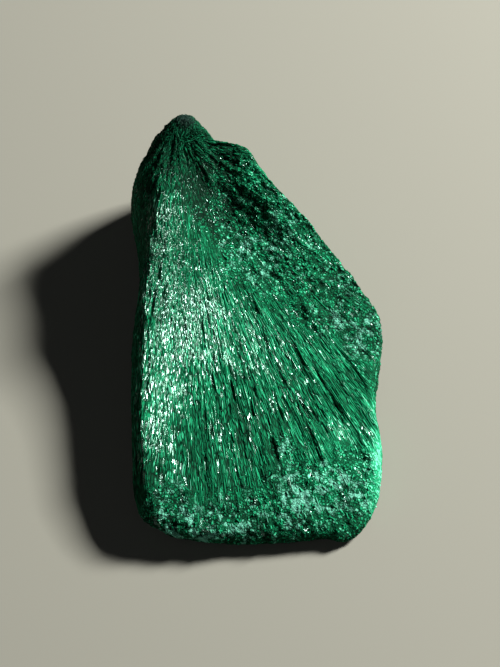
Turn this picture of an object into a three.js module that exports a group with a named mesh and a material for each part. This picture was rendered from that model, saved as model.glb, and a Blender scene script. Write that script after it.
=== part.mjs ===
// A hand-sized piece of fibrous malachite, lying on its flat broken base.
// It is one stone: needle crystals fan out from a high tip at the back and end at the broad front edge.
// Millimetres, +Z up. The tip is at the back (+Y) and the broad edge at the front (-Y).
// While it is shaped, x and y are measured from the middle of the fan, just in front of the tip.
// The finished stone stands with the middle of its base at the origin.

import * as THREE from "three";

// The edge seen from above, where the top turns over into the sides: x, y, and the turn's width and depth.
// It runs clockwise from behind the tip: down the right side, along the front and up the left side.
// The turn is narrow and deep at the sharp crest on the left, and shallow at the front lip.
const EDGE = [
  [0.0, 4.2, 2.0, 2.0],
  [3.0, 3.4, 1.6, 1.6],
  [5.4, 0.9, 0.7, 1.3],
  [10.1, 0.3, 0.8, 1.5],
  [13.3, -4.0, 0.7, 1.4],
  [18.9, -9.2, 0.5, 1.5],
  [23.1, -13.4, 0.6, 1.6],
  [29.4, -22.1, 0.6, 1.8],
  [31.2, -26.0, 1.4, 2.0],
  [30.5, -32.0, 1.6, 2.0],
  [29.5, -38.5, 1.1, 1.8],
  [30.4, -47.5, 1.4, 2.4],
  [29.3, -54.5, 2.0, 2.4],
  [26.6, -59.4, 2.2, 2.0],
  [23.8, -60.7, 2.0, 1.7],
  [21.9, -60.3, 1.9, 1.3],
  [13.6, -60.9, 2.0, 1.7],
  [4.0, -61.2, 2.0, 1.7],
  [-1.6, -60.5, 1.9, 2.0],
  [-4.8, -58.3, 2.4, 3.2],
  [-6.3, -54.2, 2.8, 5.0],
  [-7.2, -43.4, 2.8, 7.2],
  [-7.7, -28.6, 2.8, 8.6],
  [-6.6, -17.9, 2.8, 9.0],
  [-7.5, -10.9, 3.4, 7.4],
  [-8.6, -5.7, 4.2, 5.6],
  [-7.5, -1.5, 3.6, 4.8],
  [-3.6, 2.9, 2.9, 3.0],
];
const EDGE_SAMPLES = 6000;
const WIDTH_ROUNDS = 8;

// The turn takes up at most these shares of the way out from the middle and of the height at the edge.
const TURN_WIDTH_MOST = 0.55;
const TURN_DEPTH_MOST = 0.8;

// The thin slab that the front half is: its height at the front of the left side, and how it slopes.
const SLAB_HEIGHT = 7.4;
const SLAB_LEFT = -4.0;
const SLAB_FRONT = -55.5;
const SLAB_RISE = 0.115;
const SLAB_FALL = 0.085;

// How far the top of the slab droops towards the front lip, and where it starts and ends.
const DROOP = { depth: 1.5, start: 48, end: 61 };

// The thick back end: a step up from the slab, whose line runs further back towards the right.
const STEP_HEIGHT = 7.6;
const STEP_LINE = -19.0;
const STEP_SKEW = 0.55;
const STEP_BLEND = 4.6;

// The crest from the tip down the left side, which bends out to its x between start and full along the stone,
// and how steeply the shoulder falls away to the left of it.
const CREST = { x: -4.2, height: 1.1, width: 3.6, start: 4, full: 28 };
const SHOULDER_FALL = 0.06;

// The scooped hollow inside the right-hand rim, and the knob at the tip.
const HOLLOW = { x: 6.6, y: -9.5, depth: 4.4, length: 11.0, width: 6.4, turn: -0.95 };
const KNOB = { x: 0.5, y: 1.8, height: 1.45, radius: 3.7 };

// The sides: how far they shift to the right and the back for each millimetre down, how much the tall
// ones belly out, how far notches and corners soften towards the foot, and the undercut at the foot.
const SIDE_SHIFT = new THREE.Vector2(0.08, 0.2);
const SIDE_BELLY = 0.005;
const FOOT_ROUNDS = 14;
const UNDERCUT_HEIGHT = 2.6;
const UNDERCUT_DEPTH = 1.8;
const UNDERCUT_MOST = 0.6;

// Bundles of needles that stand proud of the surface or are broken out of it. They set in away from the tip,
// and each is one or two fibre lines wide. Lumps shape the top and the sides.
const BUNDLE_RELIEF = 0.3;
const BUNDLE_LENGTH = 6.5;
const BUNDLE_LINES = 1.4;
const BUNDLE_START = 6;
const BUNDLE_FULL = 45;
const LUMP_RELIEF = 0.35;
const LUMP_SIZE = 3.4;
const SIDE_RELIEF = 0.6;
const SIDE_LUMP_WIDTH = 5.0;
const SIDE_LUMP_HEIGHT = 3.5;

// The net of faces: fibre lines from tip to base, and the rows across them.
const LINE_GAP = 1.0;
const LINE_GAP_MOST = 2.5;
const LEAST_SLANT = 0.15;
const TOP_ROWS = 22;
const TURN_ROWS = 4;
const SIDE_ROWS = 7;

const COLOUR = 0x0b6e46;

// A repeatable number from 0 to 1 for a pair of whole numbers.
function scatter(i, j) {
  const wave = Math.sin(i * 127.1 + j * 311.7) * 43758.5453;
  return wave - Math.floor(wave);
}

// Smooth noise from -1 to 1 over the plane.
function noise(u, v) {
  const i = Math.floor(u);
  const j = Math.floor(v);
  const a = THREE.MathUtils.smoothstep(u - i, 0, 1);
  const b = THREE.MathUtils.smoothstep(v - j, 0, 1);
  const near = THREE.MathUtils.lerp(scatter(i, j), scatter(i + 1, j), a);
  const far = THREE.MathUtils.lerp(scatter(i, j + 1), scatter(i + 1, j + 1), a);
  return 2 * THREE.MathUtils.lerp(near, far, b) - 1;
}

function bell(distance) {
  return Math.exp(-distance * distance);
}

// The height of the top above the base, without its fibres.
function topHeight(x, y) {
  const slab = SLAB_HEIGHT + SLAB_RISE * (y - SLAB_FRONT) - SLAB_FALL * (x - SLAB_LEFT);
  const line = STEP_LINE + STEP_SKEW * Math.max(x, 0);
  const step = STEP_HEIGHT / (1 + Math.exp((line - y) / STEP_BLEND));
  const across = new THREE.Vector2(x - HOLLOW.x, y - HOLLOW.y);
  across.rotateAround(new THREE.Vector2(), -HOLLOW.turn);
  const hollow = HOLLOW.depth * bell(Math.hypot(across.x / HOLLOW.length, across.y / HOLLOW.width));
  const knob = KNOB.height * bell(Math.hypot(x - KNOB.x, y - KNOB.y) / KNOB.radius);
  const left = CREST.x * THREE.MathUtils.smoothstep(-y, CREST.start, CREST.full) - x;
  const crest = CREST.height * bell(left / CREST.width) - SHOULDER_FALL * Math.max(left, 0) ** 2;
  const lumps = LUMP_RELIEF * noise(x / LUMP_SIZE, y / LUMP_SIZE);
  const droop = DROOP.depth * THREE.MathUtils.smoothstep(-y, DROOP.start, DROOP.end);
  return slab - droop + step + crest - hollow + knob + lumps;
}

// A closed ring of numbers, each averaged with its neighbours a number of times.
function soften(ring, rounds) {
  if (rounds === 0) return ring;
  const softer = ring.map((value, i) => (ring.at(i - 1) + value + ring[(i + 1) % ring.length]) / 3);
  return soften(softer, rounds - 1);
}

// A fine run of points on a smooth closed curve through x, y and one more number of each point of the edge.
function edgeCurve(column) {
  const points = EDGE.map((point) => new THREE.Vector3(point[0], point[1], point[column]));
  return new THREE.CatmullRomCurve3(points, true, "centripetal").getPoints(EDGE_SAMPLES);
}

// Points of the edge, spaced so that the fibre lines that end there lie an even gap apart.
// Where a line meets the edge at a slant, its turn is as much longer.
function edgePoints() {
  const widths = edgeCurve(2);
  const depths = edgeCurve(3);
  const chosen = [];
  let due = 0;
  let run = 0;
  for (let k = 0; k < widths.length - 1; k++) {
    const here = new THREE.Vector2(widths[k].x, widths[k].y);
    const along = new THREE.Vector2(widths[k + 1].x, widths[k + 1].y).sub(here);
    const crossing = Math.abs(here.clone().normalize().cross(along.clone().normalize()));
    const slant = Math.max(crossing, LEAST_SLANT);
    if (due <= 0) {
      chosen.push({ x: here.x, y: here.y, width: widths[k].z / slant, depth: depths[k].z, run });
      due += 1;
    }
    due -= along.length() / Math.min(LINE_GAP / slant, LINE_GAP_MOST);
    run += along.length();
  }
  const softWidths = soften(chosen.map(({ width }) => width), WIDTH_ROUNDS);
  return chosen.map((point, i) => ({ ...point, width: softWidths[i] }));
}

// How far a bundle stands proud, for fibre line i at a distance from the middle of the fan.
function bundleRelief(i, distance) {
  const grown = THREE.MathUtils.smoothstep(distance, BUNDLE_START, BUNDLE_FULL);
  return BUNDLE_RELIEF * grown * noise(i / BUNDLE_LINES, distance / BUNDLE_LENGTH);
}

// The ring of plan points that the sides come down to: the edge, softened.
function footRing(edges) {
  const xs = soften(edges.map(({ x }) => x), FOOT_ROUNDS);
  const ys = soften(edges.map(({ y }) => y), FOOT_ROUNDS);
  return xs.map((x, i) => new THREE.Vector2(x, ys[i]));
}

// The level direction straight out of a ring at one of its points.
function outward(ring, i) {
  const before = ring.at(i - 1);
  const after = ring[(i + 1) % ring.length];
  return new THREE.Vector2(before.y - after.y, after.x - before.x).normalize();
}

// One fibre line over the top: from the middle of the fan to the edge and round its turn.
function topLine(edge, i) {
  const reach = Math.hypot(edge.x, edge.y);
  const width = Math.min(edge.width, TURN_WIDTH_MOST * reach);
  const points = [];
  const height = (part) => topHeight(edge.x * part, edge.y * part) + bundleRelief(i, reach * part);
  const place = (part, drop) => {
    points.push(new THREE.Vector3(edge.x * part, edge.y * part, height(part) - drop));
  };
  for (let k = 1; k <= TOP_ROWS; k++) place((1 - width / reach) * (k / TOP_ROWS), 0);
  const depth = Math.min(edge.depth, TURN_DEPTH_MOST * height(1));
  for (let k = 1; k <= TURN_ROWS; k++) {
    const angle = (Math.PI / 2) * (k / TURN_ROWS);
    place(1 - (width / reach) * (1 - Math.sin(angle)), depth * (1 - Math.cos(angle)));
  }
  return points;
}

// The same line down the side, from the end of the turn to the base.
function sideLine(start, foot, out, run) {
  const points = [];
  const hollowed = Math.min(UNDERCUT_HEIGHT, UNDERCUT_MOST * start.z);
  for (let k = 1; k <= SIDE_ROWS; k++) {
    const down = k / SIDE_ROWS;
    const z = start.z * (1 - down);
    const belly = SIDE_BELLY * start.z ** 2 * Math.sin(Math.PI * down);
    const lump = SIDE_RELIEF * down * noise(run / SIDE_LUMP_WIDTH, z / SIDE_LUMP_HEIGHT);
    const under = UNDERCUT_DEPTH * Math.max(0, 1 - z / hollowed) ** 2;
    const plan = new THREE.Vector2(start.x, start.y).lerp(foot, down);
    plan.addScaledVector(out, belly + lump - under).addScaledVector(SIDE_SHIFT, start.z - z);
    points.push(new THREE.Vector3(plan.x, plan.y, z));
  }
  return points;
}

// All the fibre lines, each from the row next to the middle of the fan down to the base.
function fibreLines() {
  const edges = edgePoints();
  const ring = footRing(edges);
  return edges.map((edge, i) => {
    const top = topLine(edge, i);
    return [...top, ...sideLine(top.at(-1), ring[i], outward(ring, i), edge.run)];
  });
}

// The closed surface: the middle of the fan, rings round it, and the flat base.
function stoneGeometry() {
  const lines = fibreLines();
  const count = lines.length;
  const rows = lines[0].length;
  const vertices = [0, 0, topHeight(0, 0)];
  for (let row = 0; row < rows; row++) {
    for (const line of lines) vertices.push(...line[row].toArray());
  }
  const baseCentre = vertices.length / 3;
  const rim = lines.map((line) => line[rows - 1]);
  vertices.push(
    rim.reduce((sum, p) => sum + p.x, 0) / count,
    rim.reduce((sum, p) => sum + p.y, 0) / count,
    0,
  );

  const at = (row, i) => 1 + row * count + (i % count);
  const faces = [];
  for (let i = 0; i < count; i++) {
    faces.push(0, at(0, i + 1), at(0, i));
    for (let row = 0; row < rows - 1; row++) {
      faces.push(at(row, i), at(row, i + 1), at(row + 1, i + 1));
      faces.push(at(row, i), at(row + 1, i + 1), at(row + 1, i));
    }
    faces.push(baseCentre, at(rows - 1, i), at(rows - 1, i + 1));
  }

  const geometry = new THREE.BufferGeometry();
  geometry.setAttribute("position", new THREE.Float32BufferAttribute(vertices, 3));
  geometry.setIndex(faces);
  geometry.computeBoundingBox();
  const { min, max } = geometry.boundingBox;
  geometry.translate(-(min.x + max.x) / 2, -(min.y + max.y) / 2, -min.z);
  geometry.computeVertexNormals();
  return geometry;
}

const stone = new THREE.Mesh(
  stoneGeometry(),
  new THREE.MeshStandardMaterial({ color: COLOUR, roughness: 0.45, metalness: 0 }),
);
stone.name = "malachite";

const specimen = new THREE.Group();
specimen.add(stone);

export default specimen;
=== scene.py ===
import math

import bmesh
import bpy
import numpy as np
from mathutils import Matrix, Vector
from mathutils.kdtree import KDTree


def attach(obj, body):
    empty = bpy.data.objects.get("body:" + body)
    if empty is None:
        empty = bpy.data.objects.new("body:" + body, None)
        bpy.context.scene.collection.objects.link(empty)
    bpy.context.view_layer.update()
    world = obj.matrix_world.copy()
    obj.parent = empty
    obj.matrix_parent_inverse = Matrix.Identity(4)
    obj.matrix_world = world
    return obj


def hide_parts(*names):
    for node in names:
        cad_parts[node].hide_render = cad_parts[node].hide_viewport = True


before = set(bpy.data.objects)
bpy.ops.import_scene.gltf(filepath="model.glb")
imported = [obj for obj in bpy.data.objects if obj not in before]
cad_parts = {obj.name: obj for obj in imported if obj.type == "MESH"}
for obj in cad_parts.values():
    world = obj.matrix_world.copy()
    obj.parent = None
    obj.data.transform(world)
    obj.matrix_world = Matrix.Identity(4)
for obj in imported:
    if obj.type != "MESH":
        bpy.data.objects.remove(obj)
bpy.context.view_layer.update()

MM = 0.001
SEED = 20

# The middle of the fan that all the needles point away from, inside the high end of the stone.
FAN = np.array([-12.3, 28.0, 17.5]) * MM

# The camera: the point of the table that it looks at, its distance and elevation, and its field of view.
CAMERA_TARGET = Vector((-0.65, 3.42, 0.0)) * MM
CAMERA_DISTANCE = 230 * MM
CAMERA_ELEVATION = math.radians(55)
CAMERA_VIEW = math.radians(26.1)
CAMERA_NEAREST = 5 * MM

# The lights: their direction from the stone, distance and size in metres, power and colour.
LIGHTS = {
    "key": ((0.713, 0.394, 0.58), 0.8, 0.18, 24.0, (1.0, 0.98, 0.94)),
    "fill": ((-0.5, -0.75, 0.9), 0.9, 0.8, 0.5, (0.94, 0.97, 1.0)),
}
SKY_COLOUR = (0.9, 0.93, 1.0, 1)
SKY_STRENGTH = 0.015

# The floor, just below the stone's base.
FLOOR_SIZE = 3.0
FLOOR_LEVEL = -0.1 * MM
FLOOR_COLOUR = (0.19, 0.19, 0.16, 1)
FLOOR_ROUGHNESS = 0.9

# The copy of the solid's mesh: the distance at which points are welded, an angle that lets any two
# triangles join, and how its UV map is unwrapped.
WELD = 0.001 * MM
JOIN_ANGLE = 3.0
UNWRAP_ANGLE = math.radians(66)
UNWRAP_MARGIN = 0.01

# The stone's surface: how finely it is divided, and how far it lies below the solid's. Relief and sinking
# start where the normal's height is the first of these, on faces that look down, and are full at the
# second.
LEVELS = 3
SINK = 0.12 * MM
UNDERSIDE = (-11 / 15, -0.4)

# Bundles of needles: the number across the fan, the length along it and the height. They lose the first
# share of their height where the stone is broken into grains, and the second near the tip.
BUNDLES = [(26, 14 * MM, 0.14 * MM), (60, 7 * MM, 0.12 * MM), (130, 3 * MM, 0.08 * MM)]
BROKEN_LOSS = 0.6
TIP_LOSS = 0.5

# Lumps, where the stone is broken across its needles: their size and height.
LUMPS = [(1.2 * MM, 0.18 * MM), (0.55 * MM, 0.18 * MM)]

# Slots, where bundles have broken out: their number across the fan, their length and depth, and the values
# of the noise at which they start and are full.
SLOTS_ACROSS = 60
SLOT_LENGTH = 7 * MM
SLOT_DEPTH = 0.3 * MM
SLOT_RANGE = (0.4, 0.55)

# Flutes that run down from the tip: how often they change round the fan, up it and out along it, and their
# height. They are gone at the first of these distances from the middle of the fan, and full at the second.
FLUTES = [((5, 1, 0.7), 0.32 * MM), ((14, 2, 1.2), 0.28 * MM)]
FLUTE_REACH = (20 * MM, 20 / 3 * MM)

# The pattern of strands: their number in one radian of the fan, their length in widths, how many widths
# they wander to the side and over what distance, and the ridges they make, as height and number to a strand.
STRANDS = 150
STRAND_LENGTH = 5.5
STRAND_WANDER = 0.9
WANDER_SIZE = 2 * MM
STRAND_HEIGHT = 0.14 * MM
STRAND_RIDGES = 0.7

# Near the tip the strands are coarser, by these scales round the fan, up it and along it. The change starts
# at the first of these distances from the fan's middle and is complete at the second. No distance counts as
# less than the nearest.
TIP_STRANDS = (0.36, 0.1, 0.12)
TIP_REACH = (22.5 * MM, 13.5 * MM)
NEAREST = 3 * MM

# The pattern of grains: their size, and how far they are shifted so that they are not all alike.
GRAIN_SIZE = 0.47 * MM
GRAIN_SHIFT = 0.5 * MM

# Each strand or grain is a tilted facet with a crease round it, as a share of its width. The crease is sunk,
# and the colour darkens towards it as painted shade. The depths are
# those of the facets, and of the streaks on needles and loose grains.
CREASE = 0.27
FACET_DEPTH = 0.32 * MM
STREAK_DEPTH = 0.1 * MM

# The stone is broken into grains in the grain zones, and where needles point out of it, by how squarely
# they do so. Those near the tip stay whole: breaks start at the first of these distances from the fan's
# middle and are full at the second. Patches make them uneven.
ZONE_BREAK = 1.3
BREAK_FACING = (0.3, 0.65)
CAP_REACH = (7.8 * MM, 20.8 * MM)
BREAK_PATCH = 2.2 * MM
BREAK_PATCHY = 0.5

# Needles that lie in the surface, along the fan. They are shorter near the tip, down to the shortest share,
# and on the ridge.
NEEDLE_TRIES = 26000
NEEDLE_LENGTH = 1.7 * MM
NEEDLE_SPREAD = 0.4
NEEDLE_RADIUS = (0.04 * MM, 0.09 * MM)
NEEDLE_STRAY = 0.04
NEEDLE_ROLL = 0.3
NEEDLE_LIFT = SINK / 2
FULL_REACH = 28 * MM
SHORTEST = 0.35
RIDGE_LENGTH = 0.4

# Loose grains where the stone is broken. They turn with the needles where these point out of the stone,
# lean out a little, and are thicker in powder.
GRAIN_TRIES = 22000
GRAIN_LENGTH = (0.3 * MM, 0.75 * MM)
GRAIN_RADIUS = (0.09 * MM, 0.18 * MM)
GRAIN_STRAY = 0.45
GRAIN_ROLL = 0.5
GRAIN_LIFT = (-0.2 * MM, 0.06 * MM)
GRAIN_TURN = 1.2
GRAIN_LEAN = 0.2
POWDER_GROWTH = 0.4

# Needles and grains are rods. Their section, in radii: the height of its ridge on walls, what level places
# add to it, and how far its edges are sunk. Each pointed end is a share of the length.
ROD_HEIGHT = 0.1
ROD_LEVEL_HEIGHT = 0.25
ROD_SUNK = 0.2
ROD_POINT = 0.12

# Rods start above this gap to the floor, and where the normal is higher than this.
FLOOR_GAP = 0.3 * MM
LOWEST_NORMAL = -0.55

# The most faces, or rods, in one piece.
PIECE_FACES = 90000
PIECE_RODS = 15000

# Places on the top, as x, y and radius in millimetres: broken into grains, the ridge of shorter needles
# down the left side, the slots of broken-out needles, and the grey knob of the tip. Their edges are ragged.
GRAIN_ZONES = [
    (-3, 20, 5), (-1, 16, 8), (2, 10, 8), (6, 12, 8), (12, 6, 7), (10, 3, 6), (17, -1, 6),
    (-12, -33, 5), (-3, -33, 6), (6, -31, 7), (14, -29, 7), (8, -27, 5), (14, -24, 4), (4.5, -21, 2),
]
RIDGE_ZONES = [(-14, 8, 6), (-14, 0, 6), (-14, -8, 6), (-15, -16, 5), (-15, -24, 5)]
SLOT_ZONES = [(-4, -12, 6), (2, -18, 7), (8, -14, 6)]
TIP_ZONE = [(-11.2, 28.8, 1.7)]
RAGGED = 0.3
RAGGED_SIZE = 2.5 * MM

# Places dusted with pale mint powder: x, y, radius and level. It lies in patches, each kind as its size and
# strength.
POWDER_ZONES = [
    (-12, -32, 6, 0.6), (-4, -33, 6, 0.7), (4, -31, 5, 0.6), (8, -27, 4, 0.8), (14, -27, 5, 0.9),
    (4.5, -21, 2, 0.8), (17, -2, 5, 0.6), (2, 12, 9, 0.7), (14, 2, 6, 0.4),
]
POWDER_MEAN = 0.5
POWDER_PATCHES = [(1.8 * MM, 0.4), (0.7 * MM, 0.9)]

# Places that are paler or darker than the rest: x, y, radius and the shift in tone. Many are painted light
# and
# shade: painted light on the lit ridge down the left, the band across the middle, the lit right edge and the
# lit rim by the tip; painted shade over the hollow and on the shoulder beside the tip; and painted light
# that lifts the shaded floor and inner rim of the hollow. The others make patches paler or darker.
TONE_AND_LIGHT_ZONES = [
    (-13, 4, 6, 0.12), (-13, -6, 6, 0.12), (-14, -15, 5, 0.12), (0, 17, 10, -0.04),
    (-10, 20, 7, -0.18), (-13, 20, 5, -0.1), (6, 17, 5, 0.1), (0, 22.2, 2, 0.3), (-17, 17, 5, 0.15),
    (12, -22, 6, 0.2), (8, -29, 7, 0.06), (2, 11, 9, 0.08), (3, 15, 6, 0.06),
    (10, -6, 8, 0.09), (-3, -4, 7, 0.11), (19.5, -14, 3, 0.35), (19.5, -19, 2.5, 0.45),
    (19, -24, 3, 0.5), (19, -28.5, 3, 0.45), (13, -18, 1.5, 0.2),
]

# Places where needles are clean and silky: x, y, radius and share. They are the ridge, a band across the
# middle and a spot at the lower right. A few needles are silky elsewhere. They fade out on walls, by the
# normal's height.
SILK_ZONES = [
    (-14.5, 13, 3, 0.4), (-14.5, 8, 4, 0.6), (-13.5, 1, 5, 0.7), (-13, -6, 5, 0.6), (-14, -14, 4, 0.8),
    (-15, -22, 3, 0.8), (-8, -1, 5, 0.5), (-4, -4, 5, 0.35), (2, -7, 5, 0.2), (13, -18, 1.2, 0.8),
]
STRAY_SILK = 0.05
SILK_FACING = (0.25, 0.875)

# Colours, from the darkest tone to the palest.
TONES = [
    (0.00, (0.0004, 0.010, 0.004)),
    (0.35, (0.0012, 0.065, 0.026)),
    (0.65, (0.0040, 0.190, 0.078)),
    (0.88, (0.0300, 0.380, 0.190)),
    (1.00, (0.1300, 0.600, 0.370)),
]

# The range of tones in each pattern.
STRAND_TONES = (0.14, 0.98)
NEEDLE_TONES = (0.3, 0.7)
GRAIN_TONES = (0.08, 0.95)

# What the body's mesh adds to the tone: everywhere, by the height of its relief, and in mottles. The part by
# height is painted shade where the relief is sunk, in grooves, flutes and slots, and painted light where it
# stands out.
BODY_TONE = 0.02
RELIEF_SHADING = 0.5 / MM
MOTTLE_TONE = 0.12
MOTTLE_SIZE = 1.3 * MM

# What each rod adds to the tone, by luck and in broad streaks, and its share of the powder.
ROD_TONE = 0.12
STREAK_TONE = 0.15
STREAKS_ACROSS = 40
STREAK_LENGTH = 9 * MM
ROD_POWDER = (0.3, 1.2)

# The fine streaks on rods: their number across the fan, length and detail, and the value of the noise below
# which they darken.
FINE_STREAKS = (160, 2 * MM, 3)
FINE_STREAK_DARK = 0.4

# Powder clings to pale facets and away from their creases, and shows over this range.
DUST_INSIDE = 0.3
DUST_ON_PALE = 0.7
DUST_RANGE = (0.9, 1.5)
POWDER_COLOUR = (0.11, 0.38, 0.27, 1)
TIP_COLOUR = (0.014, 0.036, 0.028, 1)

# Dull needles and silky ones: their specular level, and their roughness from the darkest to the palest.
LOOKS = {"dull": (0.035, 0.85, 0.65), "silk": (0.75, 0.37, 0.22)}
SHEEN_COLOUR = (0.6, 1.0, 0.86, 1)
IOR = 1.75


def lattice(cells, seed):
    """A repeatable number from 0 to 1 for each row of whole numbers."""
    x, y, z = cells.astype(np.int64).T
    bits = x * 73856093 ^ y * 19349663 ^ z * 83492791 ^ (seed * 2654435761)
    bits = (bits ^ (bits >> 13)) * 1274126177 & 0xFFFFFFFF
    return ((bits ^ (bits >> 16)) & 0xFFFF) / 65535


def noise(points, seed):
    """Smooth noise from -1 to 1 at each row of points."""
    cell = np.floor(points)
    part = points - cell
    part = part * part * (3 - 2 * part)
    total = np.zeros(len(points))
    for corner in np.ndindex(2, 2, 2):
        weight = np.where(corner, part, 1 - part).prod(axis=1)
        total += weight * lattice(cell + corner, seed)
    return 2 * total - 1


def unit(vectors):
    return vectors / np.maximum(np.linalg.norm(vectors, axis=1, keepdims=True), 1e-12)


def dot(a, b):
    return (a * b).sum(axis=1)


def fade(values, start, end):
    """From 0 at the start to 1 at the end, and straight between them."""
    return np.clip((values - start) / (end - start), 0, 1)


def reach(points):
    """Distances from the middle of the fan."""
    return np.linalg.norm(points - FAN, axis=1)


def along_fan(points, across, length):
    """Coordinates in which noise makes bundles: it changes fast across the fan and slowly along it."""
    drift = np.array([0.36, 0.62, 0.70])
    return unit(points - FAN) * across + (reach(points) / length)[:, None] * drift


def fan_place(points):
    """Places in the fan: the angles round it and up it, and the logarithm of the distance from it."""
    x, y, z = (points - FAN).T
    out = np.log(np.maximum(reach(points), NEAREST))
    return np.stack([np.arctan2(x, -y), np.arctan2(z, np.hypot(x, y)), out], 1)


def strand_place(points):
    """Places in the fan, counted in strands."""
    places = fan_place(points) * (STRANDS, STRANDS, STRANDS / STRAND_LENGTH)
    places[:, 0] += STRAND_WANDER * noise(points / WANDER_SIZE, 21)
    return places


def nearness(points):
    """From 0 to 1, how near the tip the points are."""
    return fade(reach(points), *TIP_REACH)


def zone_weight(points, zones, power=4):
    """From 0 to 1, how far each point is inside any of the zones, seen from above.

    A higher power makes their edges sharper."""
    weight = np.zeros(len(points))
    ragged = RAGGED * noise(points / RAGGED_SIZE, 13)
    for x, y, radius in zones:
        gap = np.hypot(points[:, 0] / MM - x, points[:, 1] / MM - y) / radius + ragged
        weight = np.maximum(weight, np.exp(-np.abs(gap) ** power))
    return weight


def slots(points):
    """From 0 to 1, where a bundle of needles has broken out and left a sunk slot, dark with real and painted
    shade.
    """
    broken = fade(noise(along_fan(points, SLOTS_ACROSS, SLOT_LENGTH), 11), *SLOT_RANGE)
    return broken * zone_weight(points, SLOT_ZONES)


def graininess(points, normals):
    """From 0 to 1, how far the stone is broken across its needles."""
    facing = np.abs(dot(unit(points - FAN), normals))
    cut = fade(facing, *BREAK_FACING) * fade(reach(points), *CAP_REACH)
    patchy = 1 + BREAK_PATCHY * noise(points / BREAK_PATCH, 3)
    broken = ZONE_BREAK * zone_weight(points, GRAIN_ZONES)
    return np.clip(np.maximum(cut, broken) * patchy, 0, 1)


def wholeness(points, normals):
    """From 0 to 1, how far needles are left: neither broken into grains nor broken out of a slot."""
    return (1 - graininess(points, normals)) * (1 - slots(points))


def zone_sum(points, zones):
    """The sum of the zones' values, each fading out from its middle."""
    total = np.zeros(len(points))
    for x, y, radius, value in zones:
        total += value * zone_weight(points, [(x, y, radius)], 2)
    return total


def powderiness(points):
    """From 0 to 1, how much pale powder lies on the stone."""
    patchy = np.full(len(points), POWDER_MEAN)
    for k, (size, strength) in enumerate(POWDER_PATCHES):
        patchy += strength * noise(points / size, 5 + k)
    return np.clip(zone_sum(points, POWDER_ZONES) * patchy, 0, 1)


def silkiness(points, normals):
    """The share of silky needles. None are on steep walls."""
    return (STRAY_SILK + zone_sum(points, SILK_ZONES)) * fade(normals[:, 2], *SILK_FACING)


def read(items, name, width, kind=np.float32):
    """One property of all the items, as rows of numbers."""
    values = np.empty(len(items) * width, kind)
    items.foreach_get(name, values)
    return values.reshape(-1, width)


def coarse_copy(node, name):
    """A new object: a welded copy of a solid, with its faces joined into four-sided ones and unwrapped."""
    bm = bmesh.new()
    bm.from_mesh(node.data)
    bmesh.ops.remove_doubles(bm, verts=bm.verts, dist=WELD)
    bmesh.ops.join_triangles(
        bm, faces=bm.faces, angle_face_threshold=JOIN_ANGLE, angle_shape_threshold=JOIN_ANGLE)
    mesh = bpy.data.meshes.new(name)
    bm.to_mesh(mesh)
    bm.free()
    mesh.uv_layers.new(name="OFBake")
    piece = bpy.data.objects.new(name, mesh)
    bpy.context.collection.objects.link(piece)
    bpy.context.view_layer.objects.active = piece
    bpy.ops.object.mode_set(mode="EDIT")
    bpy.ops.mesh.select_all(action="SELECT")
    bpy.ops.uv.smart_project(angle_limit=UNWRAP_ANGLE, island_margin=UNWRAP_MARGIN)
    bpy.ops.object.mode_set(mode="OBJECT")
    return piece


def fine_surface(node):
    """The solid's surface divided finely: its points, their normals, its faces and its UV map."""
    piece = coarse_copy(node, "coarse")
    piece.modifiers.new("smooth", "SUBSURF").levels = LEVELS
    graph = bpy.context.evaluated_depsgraph_get()
    fine = bpy.data.meshes.new_from_object(piece.evaluated_get(graph))
    bpy.data.objects.remove(piece)
    places = read(fine.vertices, "co", 3).astype(float)
    normals = read(fine.vertices, "normal", 3).astype(float)
    faces = read(fine.loops, "vertex_index", 1, np.int32).reshape(-1, 4)
    spread = read(fine.uv_layers["OFBake"].uv, "vector", 2).reshape(-1, 4, 2)
    return places, normals, faces, spread


def array_mesh(name, vertices, faces, spread):
    """A mesh from arrays of points, faces of one number of sides, and a UV place for each corner."""
    mesh = bpy.data.meshes.new(name)
    mesh.vertices.add(len(vertices))
    mesh.vertices.foreach_set("co", vertices.astype(np.float32).ravel())
    mesh.loops.add(faces.size)
    mesh.loops.foreach_set("vertex_index", faces.astype(np.int32).ravel())
    mesh.polygons.add(len(faces))
    mesh.polygons.foreach_set("loop_start", np.arange(0, faces.size, faces.shape[1], dtype=np.int32))
    mesh.update(calc_edges=True)
    mesh.uv_layers.new(name="OFBake").uv.foreach_set("vector", spread.astype(np.float32).ravel())
    return mesh


def add_piece(mesh, values, material):
    """Adds a mesh to the stone, with its material and the values at its points that the material reads."""
    for name, value in values.items():
        kind, label = ("FLOAT_VECTOR", "vector") if value.ndim > 1 else ("FLOAT", "value")
        layer = mesh.attributes.new(name, kind, "POINT")
        layer.data.foreach_set(label, value.astype(np.float32).ravel())
    mesh.materials.append(material)
    piece = bpy.data.objects.new(mesh.name, mesh)
    bpy.context.collection.objects.link(piece)
    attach(piece, "root")
    return piece


def in_pieces(name, silky, limit):
    """Names, looks and the rows of pieces of a limited size, the dull rows apart from the silky ones."""
    for look in LOOKS:
        rows = np.flatnonzero(silky == (look == "silk"))
        for k, first in enumerate(range(0, len(rows), limit)):
            yield f"{name}_{look}_{k + 1}", look, rows[first:first + limit]


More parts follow.
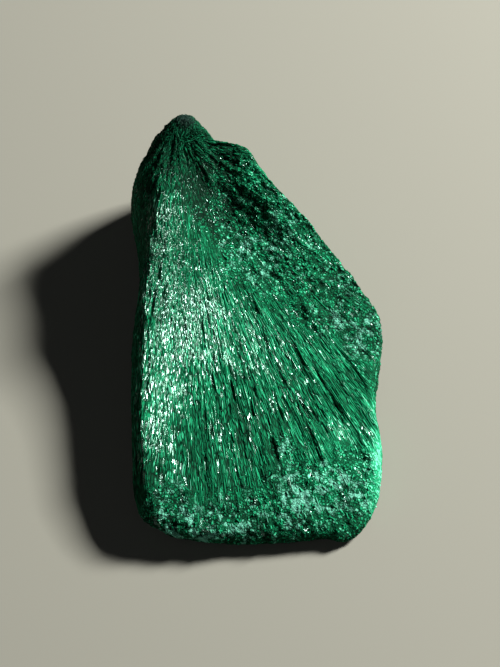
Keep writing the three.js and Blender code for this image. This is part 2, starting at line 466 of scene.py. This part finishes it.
def relief(places, grain):
    """How far bundles, strands, lumps, slots and flutes stand out of the surface, or are sunk into it."""
    calm = 1 - TIP_LOSS * nearness(places)
    height = -SLOT_DEPTH * slots(places)
    for k, (across, length, size) in enumerate(BUNDLES):
        height += size * noise(along_fan(places, across, length), k) * (1 - BROKEN_LOSS * grain) * calm
    height += STRAND_HEIGHT * noise(STRAND_RIDGES * strand_place(places), 27) * (1 - grain) * calm
    for k, (width, size) in enumerate(LUMPS):
        height += size * noise(places / width, 30 + k) * grain
    fan = fan_place(places)
    near = fade(reach(places), *FLUTE_REACH) * np.cos(fan[:, 1])
    for k, (across, size) in enumerate(FLUTES):
        height += size * near * noise(fan * across, 8 + k)
    return height


def vertex_normals(places, faces):
    """The mean direction of the faces round each point."""
    a, b, c, d = places[faces].transpose(1, 0, 2)
    facing = np.cross(c - a, d - b)
    total = np.zeros_like(places)
    for corner in faces.T:
        np.add.at(total, corner, facing)
    return unit(total)


def body_values(places, height, grain):
    """What the material reads at each point of the body. Its tone holds painted light and shade."""
    mottle = MOTTLE_TONE * noise(places / MOTTLE_SIZE, 17)
    return {
        "tone": BODY_TONE + RELIEF_SHADING * height + mottle + zone_sum(places, TONE_AND_LIGHT_ZONES),
        "powder": powderiness(places),
        "tip": zone_weight(places, TIP_ZONE),
        "grain": grain,
        "near": nearness(places),
        "strand": strand_place(places),
    }


def silky_faces(places, normals, faces):
    """Which faces are silky. All the faces of one strand have the same luck."""
    middles = places[faces].mean(axis=1)
    luck = lattice(np.floor(strand_place(middles)), 40)
    return silkiness(middles, unit(normals[faces].mean(axis=1))) > luck


def make_body(looks):
    """Makes the stone itself, in pieces from back to front.

    Returns its points, the solid's normals at them, and its faces."""
    places, normals, faces, spread = fine_surface(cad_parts["malachite"])
    grain = graininess(places, normals)
    height = relief(places, grain)
    level = fade(normals[:, 2], *UNDERSIDE)
    places += normals * ((height - SINK) * level)[:, None]
    places[:, 2] = np.maximum(places[:, 2], 0)
    shading = vertex_normals(places, faces)
    values = body_values(places, height, grain)
    order = np.argsort(-places[faces, 1].mean(axis=1))
    faces, spread = faces[order], spread[order]
    silky = silky_faces(places, normals, faces)
    for name, look, part in in_pieces("body", silky, PIECE_FACES):
        used, corners = np.unique(faces[part], return_inverse=True)
        mesh = array_mesh(name, places[used], corners.reshape(-1, 4), spread[part])
        mesh.shade_smooth()
        mesh.normals_split_custom_set_from_vertices(shading[used].tolist())
        piece = add_piece(mesh, {label: value[used] for label, value in values.items()}, looks[look])
        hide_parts("malachite")
    return places, normals, faces


def surface_samples(places, normals, faces, count, rng):
    """Points spread evenly over a surface, with their normals, but none on or close to its base."""
    faces = np.concatenate([faces[:, [0, 1, 2]], faces[:, [0, 2, 3]]])
    a, b, c = places[faces].transpose(1, 0, 2)
    area = np.linalg.norm(np.cross(b - a, c - a), axis=1)
    chosen = faces[rng.choice(len(faces), count, p=area / area.sum())]
    share = rng.dirichlet((1, 1, 1), count)[:, :, None]
    points = (places[chosen] * share).sum(1)
    normals = unit((normals[chosen] * share).sum(1))
    clear = (points[:, 2] > FLOOR_GAP) & (normals[:, 2] > LOWEST_NORMAL)
    return points[clear], normals[clear]


def surface_finder(places, normals):
    """A function that brings points down, or up, to the surface."""
    tree = KDTree(len(places))
    for index, place in enumerate(places):
        tree.insert(place, index)
    tree.balance()

    def settle(points):
        near = np.array([tree.find(point)[1] for point in points])
        height = dot(points - places[near], normals[near])
        return points - normals[near] * height[:, None]

    return settle


def lay_needles(points, normals, settle, rng):
    """Long needles along the fan, with both ends on the surface: starts, ends, radii and rolls."""
    count = len(points)
    away = points - FAN
    level = unit(away - normals * dot(away, normals)[:, None])
    along = unit(level + NEEDLE_STRAY * rng.normal(size=(count, 3)))
    ridge = zone_weight(points, RIDGE_ZONES)
    share = np.clip(reach(points) / FULL_REACH, SHORTEST, 1) * (1 - (1 - RIDGE_LENGTH) * ridge)
    length = NEEDLE_LENGTH * np.exp(rng.normal(0, NEEDLE_SPREAD, count)) * share
    half = along * length[:, None] / 2
    lift = normals * rng.uniform(-NEEDLE_LIFT, NEEDLE_LIFT, count)[:, None]
    radius = rng.uniform(*NEEDLE_RADIUS, count)
    roll = rng.normal(0, NEEDLE_ROLL, count)
    return settle(points - half) + lift, settle(points + half) + lift, radius, roll


def lay_grains(points, normals, rng):
    """Short grains that lie along the surface, or point out where it cuts across the fan.

    They are starts, ends, radii and rolls, as for needles."""
    count = len(points)
    away = unit(points - FAN)
    facing = dot(away, normals)
    level = unit(away - normals * facing[:, None])
    cut = np.clip(GRAIN_TURN * np.abs(facing), 0, 1)[:, None]
    along = level * (1 - cut) + away * np.sign(facing)[:, None] * cut
    along = unit(along + GRAIN_STRAY * rng.normal(size=(count, 3)) + GRAIN_LEAN * normals)
    half = along * rng.uniform(*GRAIN_LENGTH, count)[:, None] / 2
    radius = rng.uniform(*GRAIN_RADIUS, count) * (1 + POWDER_GROWTH * powderiness(points))
    top = np.abs(dot(half, normals)) + radius / 2
    lift = SINK + rng.uniform(*GRAIN_LIFT, count) - top
    centre = points + normals * lift[:, None]
    return centre - half, centre + half, radius, rng.normal(0, GRAIN_ROLL, count)


def rod_vertices(start, end, radius, roll, normals):
    """Eight points for each rod: a tip, three round one end, three round the other, and a tip.

    Its section is a low roof with the ridge up, turned by the roll. On steep sides it is lower."""
    along = unit(end - start)
    level = unit(normals - along * dot(normals, along)[:, None])
    across = np.cross(along, level)
    turn = roll[:, None]
    up = level * np.cos(turn) + across * np.sin(turn)
    over = np.cross(along, up)
    height = (ROD_HEIGHT + ROD_LEVEL_HEIGHT * np.clip(normals[:, 2], 0, 1))[:, None]
    section = [up * height, over - ROD_SUNK * up, -over - ROD_SUNK * up]
    vertices = np.empty((len(start), 8, 3))
    vertices[:, 0] = start
    vertices[:, 7] = end
    for first, part in ((1, ROD_POINT), (4, 1 - ROD_POINT)):
        middle = start + (end - start) * part
        for k, out in enumerate(section):
            vertices[:, first + k] = middle + out * radius[:, None]
    vertices[:, :, 2] = np.maximum(vertices[:, :, 2], 0)
    return vertices


def rod_faces():
    """The twelve triangles of one rod, and their corners in its patch of the UV map."""
    faces = []
    patch = []
    start, left, right, end = 0.05, 0.2, 0.8, 0.95
    for k in range(3):
        n = (k + 1) % 3
        low, half, high = (k + 0.1) / 3, (k + 0.5) / 3, (k + 0.9) / 3
        faces += [(0, 1 + n, 1 + k), (1 + k, 1 + n, 4 + n), (1 + k, 4 + n, 4 + k), (7, 4 + k, 4 + n)]
        patch += [[(start, half), (left, high), (left, low)], [(left, low), (left, high), (right, high)]]
        patch += [[(left, low), (right, high), (right, low)], [(end, half), (right, low), (right, high)]]
    return np.array(faces), np.array(patch)


def rod_mesh(name, vertices):
    """All the rods in one mesh, each with its own square of the UV map."""
    count = len(vertices)
    faces, patch = rod_faces()
    corners = (faces[None] + 8 * np.arange(count)[:, None, None]).reshape(-1, 3)
    squares = math.ceil(math.sqrt(count))
    square = np.stack(np.divmod(np.arange(count), squares), 1)[:, None, :]
    spread = (square + patch.reshape(1, -1, 2)) / squares
    return array_mesh(name, vertices.reshape(-1, 3), corners, spread)


def make_rods(name, points, normals, rods, rng, looks):
    """Makes needles or grains, in pieces of a limited size. Their tone holds the zones' painted light and
    shade.
    """
    vertices = rod_vertices(*rods, normals)
    count = len(points)
    streaks = noise(along_fan(points, STREAKS_ACROSS, STREAK_LENGTH), 9)
    values = {
        "tone": ROD_TONE * rng.normal(size=count) + STREAK_TONE * streaks + zone_sum(points, TONE_AND_LIGHT_ZONES),
        "powder": powderiness(points) * rng.uniform(*ROD_POWDER, count),
        "tip": zone_weight(points, TIP_ZONE),
    }
    silky = silkiness(points, normals) > rng.random(count)
    for label, look, part in in_pieces(name, silky, PIECE_RODS):
        mesh = rod_mesh(label, vertices[part])
        add_piece(mesh, {key: np.repeat(value[part], 8) for key, value in values.items()}, looks[look])


def feed(tree, socket, value):
    """Links an output to a socket, or sets the socket to a fixed value."""
    if isinstance(value, bpy.types.NodeSocket):
        tree.links.new(value, socket)
    else:
        socket.default_value = value


def worked(tree, kind, operation, *values):
    """The result of a Math or VectorMath node."""
    made = tree.nodes.new("ShaderNode" + kind)
    made.operation = operation
    for socket, value in zip(made.inputs, values):
        feed(tree, socket, value)
    number = kind == "Math" or operation in ("DOT_PRODUCT", "LENGTH")
    return made.outputs["Value" if number else "Vector"]


def attribute(tree, name, output="Fac"):
    found = tree.nodes.new("ShaderNodeAttribute")
    found.attribute_name = name
    return found.outputs[output]


def mixed(tree, share, start, end):
    """One number turned into another by a share."""
    mix = tree.nodes.new("ShaderNodeMix")
    feed(tree, mix.inputs[0], share)
    feed(tree, mix.inputs[2], start)
    feed(tree, mix.inputs[3], end)
    return mix.outputs[0]


def blended(tree, share, start, end):
    """One row of numbers turned into another by a share."""
    return [mixed(tree, share, first, second) for first, second in zip(start, end)]


def mixed_colour(tree, share, start, colour):
    """Mixes a fixed colour over another by a share."""
    mix = tree.nodes.new("ShaderNodeMix")
    mix.data_type = "RGBA"
    feed(tree, mix.inputs[0], share)
    feed(tree, mix.inputs[6], start)
    feed(tree, mix.inputs[7], colour)
    return mix.outputs[2]


def mapped(tree, value, low, high, bottom=0.0, top=1.0):
    """A value from bottom to top laid out from low to high."""
    scale = tree.nodes.new("ShaderNodeMapRange")
    feed(tree, scale.inputs["Value"], value)
    scale.inputs["From Min"].default_value = bottom
    scale.inputs["From Max"].default_value = top
    scale.inputs["To Min"].default_value = low
    scale.inputs["To Max"].default_value = high
    return scale.outputs["Result"]


def object_place(tree):
    return tree.nodes.new("ShaderNodeTexCoord").outputs["Object"]


def fibre_noise(tree, across, length, detail):
    """Noise in streaks along the fan, by their number across it, their length and their detail."""
    away = worked(tree, "VectorMath", "SUBTRACT", object_place(tree), tuple(FAN))
    distance = worked(tree, "VectorMath", "LENGTH", away)
    drawn = tree.nodes.new("ShaderNodeTexNoise")
    drawn.noise_dimensions = "4D"
    drawn.inputs["Scale"].default_value = across
    drawn.inputs["Detail"].default_value = detail
    feed(tree, drawn.inputs["Vector"], worked(tree, "VectorMath", "NORMALIZE", away))
    feed(tree, drawn.inputs["W"], worked(tree, "Math", "DIVIDE", distance, length * across))
    return drawn.outputs["Fac"]


def voronoi(tree, place, scale, feature):
    cells = tree.nodes.new("ShaderNodeTexVoronoi")
    cells.feature = feature
    cells.inputs["Scale"].default_value = scale
    feed(tree, cells.inputs["Vector"], place)
    return cells.outputs


def facets(tree, place, scale, tones):
    """Cells, each of its own tone and tilt, with a crease round it.

    Returns their tone, the distance from the crease (which darkens the colour as painted shade) and their
    height."""
    cells = voronoi(tree, place, scale, "F1")
    edge = voronoi(tree, place, scale, "DISTANCE_TO_EDGE")["Distance"]
    inside = mapped(tree, edge, 0, 1, top=CREASE)
    offset = worked(tree, "VectorMath", "SUBTRACT", place, cells["Position"])
    way = worked(tree, "VectorMath", "SUBTRACT", cells["Color"], (0.5, 0.5, 0.5))
    tilt = worked(tree, "VectorMath", "DOT_PRODUCT", offset, way)
    raised = worked(tree, "Math", "MULTIPLY", inside, CREASE)
    height = worked(tree, "Math", "MULTIPLY_ADD", tilt, scale, raised)
    colour = tree.nodes.new("ShaderNodeSeparateColor")
    feed(tree, colour.inputs[0], cells["Color"])
    return mapped(tree, colour.outputs["Red"], *tones), inside, height


def grain_place(tree):
    """Places on the stone, shifted a little to and fro so that the grains are not all alike."""
    shift = tree.nodes.new("ShaderNodeTexNoise")
    shift.inputs["Scale"].default_value = 1 / GRAIN_SIZE
    shift.inputs["Detail"].default_value = 1
    feed(tree, shift.inputs["Vector"], object_place(tree))
    size = (GRAIN_SHIFT, GRAIN_SHIFT, GRAIN_SHIFT)
    return worked(tree, "VectorMath", "MULTIPLY_ADD", shift.outputs["Color"], size, object_place(tree))


def stone_pattern(tree):
    """Strands, and grains where the stone is broken: their tone, distance from the crease and height."""
    strand = attribute(tree, "strand", "Vector")
    far = facets(tree, strand, 1, STRAND_TONES)
    coarse = worked(tree, "VectorMath", "MULTIPLY", strand, TIP_STRANDS)
    near = facets(tree, coarse, 1, STRAND_TONES)
    grains = facets(tree, grain_place(tree), 1 / GRAIN_SIZE, GRAIN_TONES)
    strands = blended(tree, attribute(tree, "near"), far, near)
    return blended(tree, attribute(tree, "grain"), strands, grains)


def needle_pattern(tree):
    """Fine streaks along a needle: their tone, distance from the dark and height."""
    streaks = fibre_noise(tree, *FINE_STREAKS)
    inside = mapped(tree, streaks, 0, 1, top=FINE_STREAK_DARK)
    return mapped(tree, streaks, *NEEDLE_TONES), inside, streaks


def tone_colour(tree, tone):
    """The colour of a tone."""
    ramp = tree.nodes.new("ShaderNodeValToRGB")
    while len(ramp.color_ramp.elements) < len(TONES):
        ramp.color_ramp.elements.new(0.5)
    for stop, (place, colour) in zip(ramp.color_ramp.elements, TONES):
        stop.position = place
        stop.color = (*colour, 1)
    feed(tree, ramp.inputs["Fac"], tone)
    return ramp.outputs["Color"]


def dusting(tree, tone, inside):
    """From 0 to 1, how much of the powder shows."""
    dust = worked(tree, "Math", "MULTIPLY_ADD", inside, DUST_INSIDE, attribute(tree, "powder"))
    dust = worked(tree, "Math", "MULTIPLY_ADD", tone, DUST_ON_PALE, dust)
    return mapped(tree, dust, 0, 1, *DUST_RANGE)


def malachite(name, look, pattern, depth):
    """Green needles: tone from the mesh and a pattern, with painted shade in the body's creases, pale powder
    and a greyer tip.
    """
    material = bpy.data.materials.new(name)
    material.use_nodes = True
    tree = material.node_tree
    shader = tree.nodes["Principled BSDF"]
    specular, rough, smooth = LOOKS[look]
    shader.inputs["IOR"].default_value = IOR
    shader.inputs["Specular IOR Level"].default_value = specular
    shader.inputs["Specular Tint"].default_value = SHEEN_COLOUR
    tone, inside, height = pattern(tree)
    feed(tree, shader.inputs["Roughness"], mapped(tree, tone, rough, smooth))
    # On the body this darkens the colour towards the creases, as painted shade; on needles it darkens their
    # fine streaks.
    shade = worked(tree, "Math", "MULTIPLY_ADD", tone, inside, attribute(tree, "tone"))
    dusted = mixed_colour(tree, dusting(tree, tone, inside), tone_colour(tree, shade), POWDER_COLOUR)
    tipped = mixed_colour(tree, attribute(tree, "tip"), dusted, TIP_COLOUR)
    feed(tree, shader.inputs["Base Color"], tipped)
    bump = tree.nodes.new("ShaderNodeBump")
    bump.inputs["Distance"].default_value = depth
    feed(tree, bump.inputs["Height"], height)
    feed(tree, shader.inputs["Normal"], bump.outputs["Normal"])
    return material


def make_floor():
    bpy.ops.mesh.primitive_plane_add(size=FLOOR_SIZE, location=(0, 0, FLOOR_LEVEL))
    floor = bpy.context.object
    floor.name = "floor"
    material = bpy.data.materials.new("floor")
    material.use_nodes = True
    shader = material.node_tree.nodes["Principled BSDF"]
    shader.inputs["Base Color"].default_value = FLOOR_COLOUR
    shader.inputs["Roughness"].default_value = FLOOR_ROUGHNESS
    floor.data.materials.append(material)


def make_light(name, way, distance, size, power, colour):
    """A soft square light in a direction from the stone, turned towards it."""
    data = bpy.data.lights.new(name, "AREA")
    data.size = size
    data.energy = power
    data.color = colour
    light = bpy.data.objects.new(name, data)
    light.location = Vector(way).normalized() * distance
    light.rotation_euler = light.location.to_track_quat("Z", "Y").to_euler()
    bpy.context.collection.objects.link(light)


def make_lights():
    for name, light in LIGHTS.items():
        make_light(name, *light)
    world = bpy.data.worlds.new("studio")
    world.use_nodes = True
    background = world.node_tree.nodes["Background"]
    background.inputs["Color"].default_value = SKY_COLOUR
    background.inputs["Strength"].default_value = SKY_STRENGTH
    bpy.context.scene.world = world


def make_camera():
    data = bpy.data.cameras.new("camera")
    data.sensor_fit = "VERTICAL"
    data.angle = CAMERA_VIEW
    data.clip_start = CAMERA_NEAREST
    camera = bpy.data.objects.new("camera", data)
    back = Vector((0, -math.cos(CAMERA_ELEVATION), math.sin(CAMERA_ELEVATION)))
    camera.location = CAMERA_TARGET + CAMERA_DISTANCE * back
    camera.rotation_euler = back.to_track_quat("Z", "Y").to_euler()
    bpy.context.collection.objects.link(camera)
    bpy.context.scene.camera = camera


def scattered(surface, tries, chance, rng):
    """Points on the surface, kept by their chance from 0 to 1, and the normals there."""
    points, normals = surface_samples(*surface, tries, rng)
    keep = rng.random(len(points)) < chance(points, normals)
    return points[keep], normals[keep]


def make_stone():
    body_looks = {}
    rod_looks = {}
    for look in LOOKS:
        body_looks[look] = malachite(f"body_{look}", look, stone_pattern, FACET_DEPTH)
        rod_looks[look] = malachite(f"needles_{look}", look, needle_pattern, STREAK_DEPTH)
    surface = make_body(body_looks)
    settle = surface_finder(*surface[:2])
    rng = np.random.default_rng(SEED)
    points, normals = scattered(surface, NEEDLE_TRIES, wholeness, rng)
    make_rods("needles", points, normals, lay_needles(points, normals, settle, rng), rng, rod_looks)
    points, normals = scattered(surface, GRAIN_TRIES, graininess, rng)
    make_rods("grains", points, normals, lay_grains(points, normals, rng), rng, rod_looks)


make_camera()
make_lights()
make_floor()
make_stone()
bpy.context.scene.view_settings.view_transform = "Standard"
